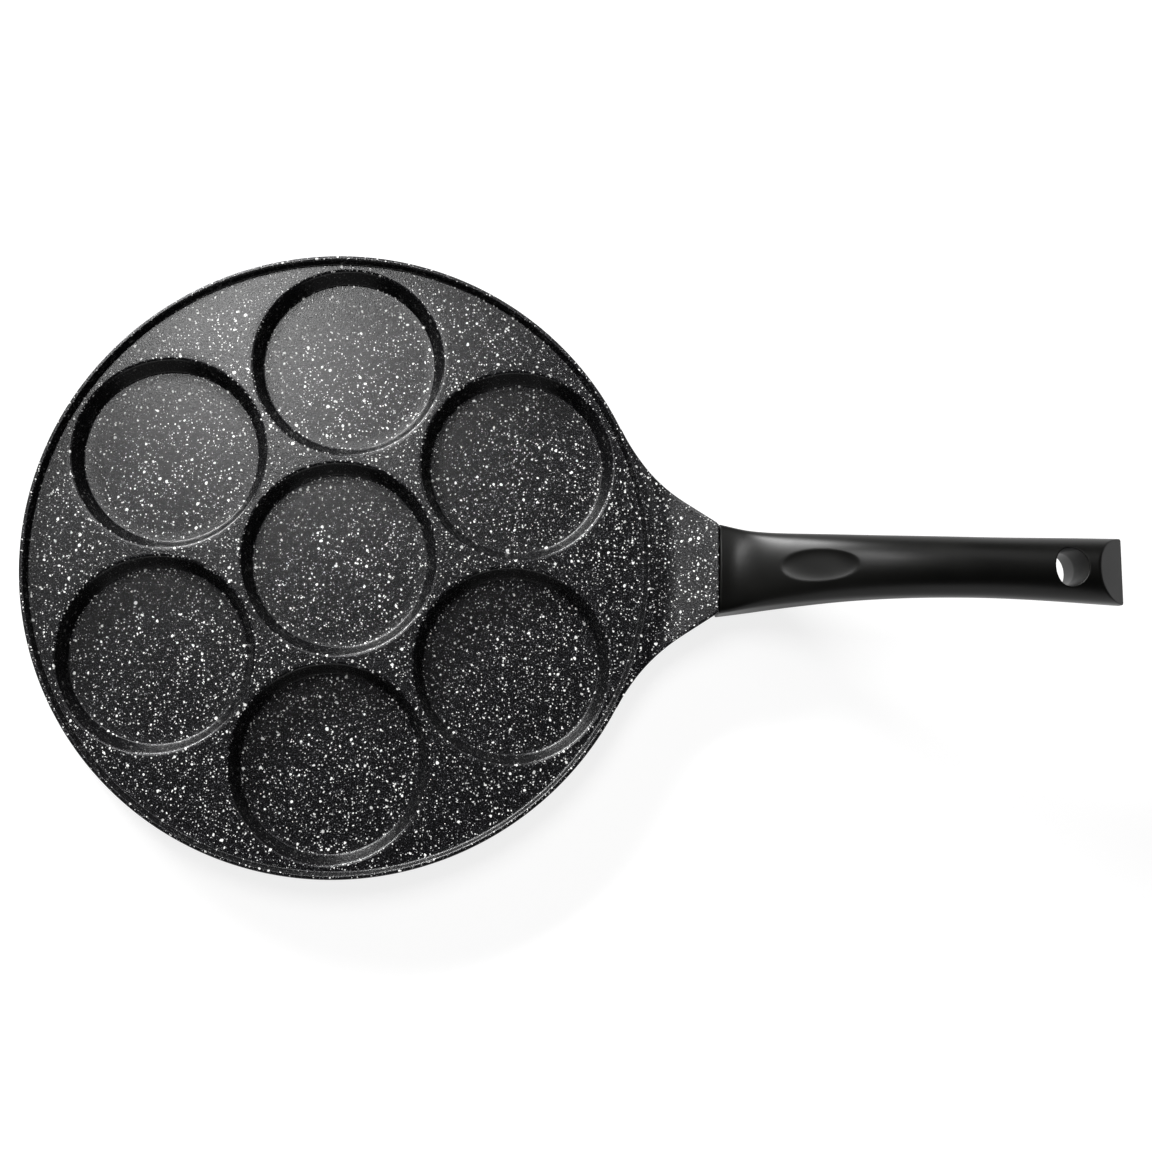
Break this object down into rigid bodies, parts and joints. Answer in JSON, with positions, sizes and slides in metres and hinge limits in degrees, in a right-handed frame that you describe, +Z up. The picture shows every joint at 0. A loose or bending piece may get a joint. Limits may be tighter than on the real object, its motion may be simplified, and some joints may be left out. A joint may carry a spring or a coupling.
{
  "type": "blini pan",
  "caption": "Round cast pan with shallow round wells for blinis, a low lip, a flared neck and an arched moulded handle with a hanging hole.",
  "frame": {"origin": "centre of the underside of the base disc, on the surface the pan stands on", "axes": "+X from the pan's middle along the handle, +Z up out of the wells, +Y to the left of the handle"},
  "size_m": [0.4475, 0.2616, 0.0562],
  "materials": {
    "coated_aluminium": "die-cast aluminium under a charcoal stone-effect non-stick coating with white flecks",
    "stainless_disc": "perforated ferritic stainless sheet, ground with the base",
    "black_moulding": "black phenolic moulding with a soft matt surface",
    "zinc_steel": "bright zinc-plated steel"
  },
  "bodies": {
    "root": {"pan_casting": "coated_aluminium", "base_disc": "stainless_disc", "handle": "black_moulding", "handle_screw": "zinc_steel", "spring_washer": "zinc_steel", "flat_washer": "zinc_steel"}
  },
  "joints": []
}
